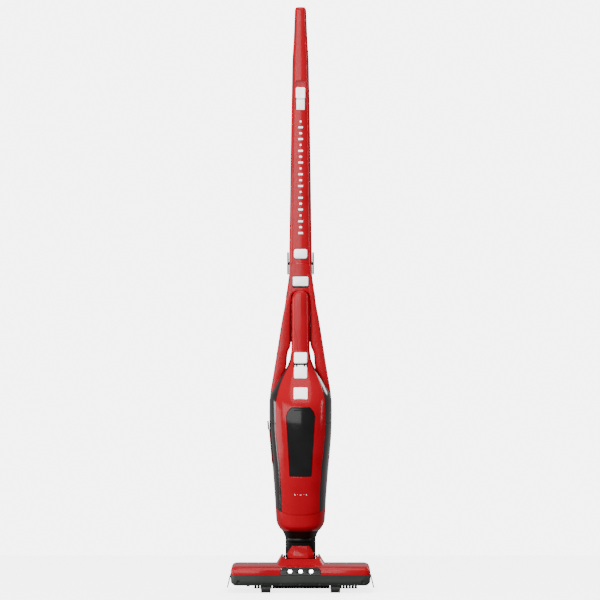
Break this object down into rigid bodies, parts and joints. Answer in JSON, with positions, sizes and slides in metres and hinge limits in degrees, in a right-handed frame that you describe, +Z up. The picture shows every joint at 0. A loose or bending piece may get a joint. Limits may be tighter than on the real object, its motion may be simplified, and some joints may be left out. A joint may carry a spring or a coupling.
{
  "type": "cordless upright stick vacuum cleaner",
  "caption": "Cordless upright stick vacuum with a folding handle, a lift-out hand unit with a smoke dust cup, and a powered floor head that tilts and swivels.",
  "frame": {"origin": "on the floor, under the middle of the whole object", "axes": "+Z up along the stick, -Y towards the front of the floor head, +X to the right as seen from the front"},
  "size_m": [0.28, 0.16, 1.12],
  "materials": {
    "gloss_red": "glossy moulded ABS in a clear deep red",
    "satin_silver": "satin silver-white painted ABS",
    "smoke_gloss": "glossy dark smoke ABS",
    "smoke_clear": "glossy tinted polycarbonate, almost opaque",
    "grey_plastic": "fine-textured dark grey ABS",
    "black_plastic": "satin black nylon and ABS",
    "black_rubber": "matt black rubber",
    "steel": "plain steel",
    "bristle": "black nylon bristle tufts",
    "filter_pleats": "grey-white pleated filter fleece",
    "circuit_board": "green circuit board",
    "led_lens": "clear white light lens"
  },
  "bodies": {
    "floor_head": {"head_base": "grey_plastic", "head_top_cover": "gloss_red", "led_window": "smoke_clear", "led_board": "led_lens", "sole_plate": "grey_plastic", "brush_bearing_left": "steel", "brush_bearing_right": "steel", "brush_motor": "steel", "drive_belt": "black_rubber", "rear_axle": "steel", "side_bristle_left": "bristle", "side_bristle_right": "bristle", "tilt_pin_left": "steel", "tilt_pin_right": "steel"},
    "front_roller_left": {"front_roller_left": "grey_plastic"},
    "front_roller_right": {"front_roller_right": "grey_plastic"},
    "rear_wheel_left": {"rear_wheel_left": "black_rubber"},
    "rear_wheel_right": {"rear_wheel_right": "black_rubber"},
    "brush_roll": {"brush_roll": "bristle"},
    "motor_pulley": {"motor_pulley": "steel"},
    "brush_latch": {"brush_latch": "black_plastic"},
    "neck": {"neck_yoke": "black_plastic", "neck_cover": "gloss_red"},
    "frame": {"frame_cradle": "gloss_red", "swivel_collar": "black_plastic", "cup_seal": "black_rubber", "contact_block": "black_plastic", "hinge_ear_left": "black_plastic", "hinge_ear_right": "black_plastic", "hinge_pin": "steel"},
    "release_button": {"release_button": "satin_silver", "release_latch": "black_plastic"},
    "handle": {"handle_front": "gloss_red", "handle_back": "gloss_red", "slide_plate": "satin_silver", "fold_latch": "steel"},
    "power_slider": {"power_slider": "satin_silver"},
    "fold_button": {"fold_button": "satin_silver"},
    "hand_unit": {"hand_front_shell": "gloss_red", "hand_back_shell": "smoke_gloss", "side_trim_left": "smoke_gloss", "side_trim_right": "smoke_gloss", "side_vent_left": "smoke_gloss", "side_vent_right": "smoke_gloss", "hand_switch_track": "black_plastic", "hand_switch_plate": "satin_silver", "inlet_duct": "black_plastic", "fan_motor": "steel", "battery_pack": "black_plastic", "control_board": "circuit_board", "charge_cover": "black_rubber"},
    "hand_power_slider": {"hand_power_slider": "satin_silver"},
    "bin_release_button": {"bin_release_button": "satin_silver"},
    "impeller": {"impeller": "black_plastic"},
    "dust_cup": {"dust_cup": "smoke_clear", "filter_frame": "grey_plastic", "filter_cartridge": "filter_pleats"}
  },
  "joints": [
    {"name": "front_roller_left_spin", "type": "hinge", "parent": "floor_head", "child": "front_roller_left", "pos_m": [-0.066, -0.068, 0.008], "axis": [1, 0, 0], "continuous": true},
    {"name": "front_roller_right_spin", "type": "hinge", "parent": "floor_head", "child": "front_roller_right", "pos_m": [0.066, -0.068, 0.008], "axis": [1, 0, 0], "continuous": true},
    {"name": "rear_wheel_left_spin", "type": "hinge", "parent": "floor_head", "child": "rear_wheel_left", "pos_m": [-0.052, 0.062, 0.018], "axis": [1, 0, 0], "continuous": true},
    {"name": "rear_wheel_right_spin", "type": "hinge", "parent": "floor_head", "child": "rear_wheel_right", "pos_m": [0.052, 0.062, 0.018], "axis": [1, 0, 0], "continuous": true},
    {"name": "brush_spin", "type": "hinge", "parent": "floor_head", "child": "brush_roll", "pos_m": [0, -0.038, 0.0235], "axis": [1, 0, 0], "continuous": true},
    {"name": "motor_spin", "type": "hinge", "parent": "floor_head", "child": "motor_pulley", "pos_m": [-0.1, 0.002, 0.031], "axis": [1, 0, 0], "continuous": true},
    {"name": "brush_latch_slide", "type": "slide", "parent": "floor_head", "child": "brush_latch", "axis": [-1, 0, 0], "range_m": [0, 0.008]},
    {"name": "neck_tilt", "type": "hinge", "parent": "floor_head", "child": "neck", "pos_m": [0, 0.022, 0.044], "axis": [-1, 0, 0], "range_deg": [0, 75]},
    {"name": "frame_swivel", "type": "hinge", "parent": "neck", "child": "frame", "pos_m": [0, 0.008, 0.0977], "axis": [0, 0, 1], "range_deg": [-60, 60]},
    {"name": "release_button_press", "type": "slide", "parent": "frame", "child": "release_button", "axis": [0, 1, 0], "range_m": [0, 0.003], "stiffness_N_per_m": 400},
    {"name": "handle_fold", "type": "hinge", "parent": "frame", "child": "handle", "pos_m": [0, 0.036, 0.626], "axis": [-1, 0, 0], "range_deg": [0, 170]},
    {"name": "power_slider_slide", "type": "slide", "parent": "handle", "child": "power_slider", "axis": [0, 0, 1], "range_m": [0, 0.012]},
    {"name": "fold_button_press", "type": "slide", "parent": "handle", "child": "fold_button", "axis": [0, 1, 0], "range_m": [0, 0.003], "stiffness_N_per_m": 400},
    {"name": "hand_unit_lift_off", "type": "slide", "parent": "frame", "child": "hand_unit", "axis": [0, -0.9397, 0.342], "range_m": [0, 0.16]},
    {"name": "hand_slider_slide", "type": "slide", "parent": "hand_unit", "child": "hand_power_slider", "axis": [0, -0.3746, -0.9272], "range_m": [0, 0.0065]},
    {"name": "bin_release_press", "type": "slide", "parent": "hand_unit", "child": "bin_release_button", "axis": [0, 0.848, -0.5299], "range_m": [0, 0.003], "stiffness_N_per_m": 400},
    {"name": "impeller_spin", "type": "hinge", "parent": "hand_unit", "child": "impeller", "pos_m": [0, -0.012, 0.355], "axis": [0, 0, 1], "continuous": true},
    {"name": "dust_cup_slide", "type": "slide", "parent": "hand_unit", "child": "dust_cup", "axis": [0, -1, 0], "range_m": [0, 0.08]}
  ],
  "couplings": [
    {"joint": "motor_spin", "follows": "brush_spin", "ratio": 2.2}
  ]
}
